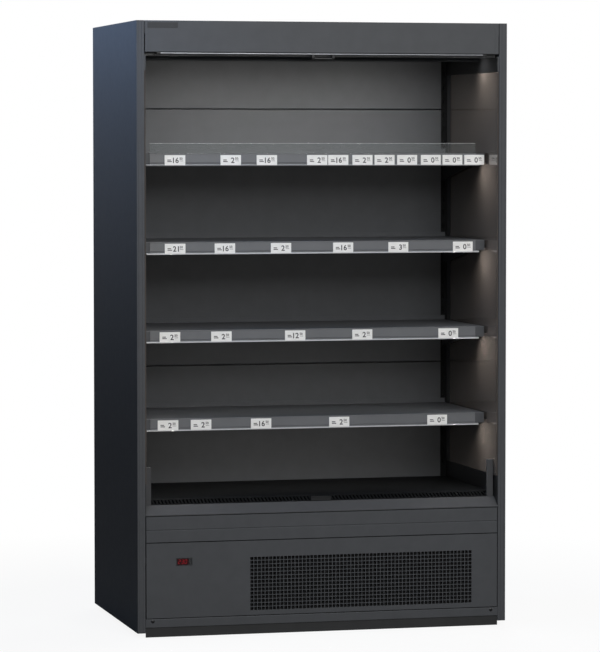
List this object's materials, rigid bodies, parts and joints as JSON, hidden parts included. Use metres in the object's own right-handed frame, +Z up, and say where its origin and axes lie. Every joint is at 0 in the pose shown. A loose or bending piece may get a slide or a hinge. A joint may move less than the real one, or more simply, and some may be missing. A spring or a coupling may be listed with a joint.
{
  "type": "open multideck display fridge",
  "caption": "Tall open-fronted chilled display cabinet with hung shelves, lit shelf edges, a night blind in the canopy and its cooling unit in the base.",
  "frame": {"origin": "on the floor under the middle of the cabinet", "axes": "+X to the right seen from the front, +Y towards the back, +Z up"},
  "size_m": [1.25, 0.75, 2],
  "materials": {
    "body_paint": "satin dark grey powder coat",
    "dark_paint": "matt near-black powder coat",
    "black_plastic": "moulded black plastic, fine texture",
    "display_window": "dark red window over a digital display",
    "dark_mirror": "smoked mirror glass",
    "strip_plastic": "extruded grey plastic, satin",
    "light_diffuser": "opal diffuser, lit white",
    "clear_acrylic": "clear, polished edges",
    "aluminium": "satin anodised",
    "blind_cloth": "coated woven blind cloth",
    "galvanised": "galvanised sheet",
    "compressor_paint": "gloss black enamel",
    "fan_plastic": "glass-filled moulding"
  },
  "bodies": {
    "cabinet": {"end_wall_left": "body_paint", "end_wall_right": "body_paint", "back_panel": "body_paint", "roof_panel": "body_paint", "tub_floor": "dark_paint", "tub_front": "dark_paint", "front_panel": "body_paint", "nose_cap": "body_paint", "blind_catch": "black_plastic", "service_panel": "body_paint", "kick_plate": "dark_paint", "controller": "display_window", "duct_panel_lower": "body_paint", "duct_panel_middle": "body_paint", "duct_panel_upper": "body_paint", "upright_left": "dark_paint", "upright_right": "dark_paint", "mirror_left": "dark_mirror", "mirror_right": "dark_mirror", "ceiling_panel": "dark_paint", "canopy_fascia": "body_paint", "air_honeycomb": "black_plastic", "canopy_light": "light_diffuser", "blind_curtain": "blind_cloth", "fan_plate": "galvanised", "evaporator": "aluminium", "base_frame": "galvanised", "compressor": "compressor_paint", "condenser": "aluminium", "fan_shroud": "galvanised", "evaporation_tray": "galvanised", "electrical_box": "dark_paint", "rear_grille": "body_paint"},
    "blind_pull_bar": {"blind_bar": "aluminium", "blind_handle": "black_plastic"},
    "blind_roll": {"blind_roller": "blind_cloth"},
    "fan_left": {"evaporator_fan_left": "fan_plastic"},
    "fan_right": {"evaporator_fan_right": "fan_plastic"},
    "fan_condenser": {"condenser_fan": "fan_plastic"},
    "shelf_unit_1": {"shelf_1": "body_paint", "shelf_bracket_1": "dark_paint", "ticket_strip_1": "strip_plastic", "shelf_light_1": "light_diffuser", "shelf_riser_1": "clear_acrylic"},
    "shelf_unit_2": {"shelf_2": "body_paint", "shelf_bracket_2": "dark_paint", "ticket_strip_2": "strip_plastic", "shelf_light_2": "light_diffuser"},
    "shelf_unit_3": {"shelf_3": "body_paint", "shelf_bracket_3": "dark_paint", "ticket_strip_3": "strip_plastic", "shelf_light_3": "light_diffuser"},
    "shelf_unit_4": {"shelf_4": "body_paint", "shelf_bracket_4": "dark_paint", "ticket_strip_4": "strip_plastic", "shelf_light_4": "light_diffuser"},
    "deck_board": {"deck_pan": "dark_paint"},
    "intake_grille": {"return_grille": "black_plastic"},
    "key_down": {"controller_key_down": "black_plastic"},
    "key_up": {"controller_key_up": "black_plastic"}
  },
  "joints": [
    {"name": "blind_pull", "type": "slide", "parent": "cabinet", "child": "blind_pull_bar", "axis": [0, 0, -1], "range_m": [0, 1.45], "stiffness_N_per_m": 6, "springref_m": -1, "deforming": ["blind_curtain"]},
    {"name": "blind_roll_spin", "type": "hinge", "parent": "cabinet", "child": "blind_roll", "pos_m": [0, -0.3352, 1.9307], "axis": [1, 0, 0], "range_deg": [0, 3465]},
    {"name": "evaporator_fan_left_spin", "type": "hinge", "parent": "cabinet", "child": "fan_left", "pos_m": [-0.28, -0.12, 0.3715], "axis": [0, 1, 0], "continuous": true},
    {"name": "evaporator_fan_right_spin", "type": "hinge", "parent": "cabinet", "child": "fan_right", "pos_m": [0.28, -0.12, 0.3715], "axis": [0, 1, 0], "continuous": true},
    {"name": "condenser_fan_spin", "type": "hinge", "parent": "cabinet", "child": "fan_condenser", "pos_m": [0.26, -0.2797, 0.1543], "axis": [0, 1, 0], "continuous": true},
    {"name": "shelf_1_tilt", "type": "hinge", "parent": "cabinet", "child": "shelf_unit_1", "pos_m": [0, 0.2192, 1.5687], "axis": [-1, 0, 0], "range_deg": [0, 12]},
    {"name": "shelf_2_tilt", "type": "hinge", "parent": "cabinet", "child": "shelf_unit_2", "pos_m": [0, 0.2192, 1.2792], "axis": [-1, 0, 0], "range_deg": [0, 12]},
    {"name": "shelf_3_tilt", "type": "hinge", "parent": "cabinet", "child": "shelf_unit_3", "pos_m": [0, 0.2192, 0.9897], "axis": [-1, 0, 0], "range_deg": [0, 12]},
    {"name": "shelf_4_tilt", "type": "hinge", "parent": "cabinet", "child": "shelf_unit_4", "pos_m": [0, 0.2192, 0.7002], "axis": [-1, 0, 0], "range_deg": [0, 12]},
    {"name": "deck_pan_lift", "type": "slide", "parent": "cabinet", "child": "deck_board", "axis": [0, 0, 1], "range_m": [0, 0.15]},
    {"name": "return_grille_lift", "type": "slide", "parent": "cabinet", "child": "intake_grille", "axis": [0, 0, 1], "range_m": [0, 0.1]},
    {"name": "key_down_press", "type": "slide", "parent": "cabinet", "child": "key_down", "axis": [0, 1, 0], "range_m": [0, 0.001], "stiffness_N_per_m": 200},
    {"name": "key_up_press", "type": "slide", "parent": "cabinet", "child": "key_up", "axis": [0, 1, 0], "range_m": [0, 0.001], "stiffness_N_per_m": 200}
  ],
  "couplings": [
    {"joint": "blind_roll_spin", "follows": "blind_pull", "rad_per_m": 41.667}
  ]
}
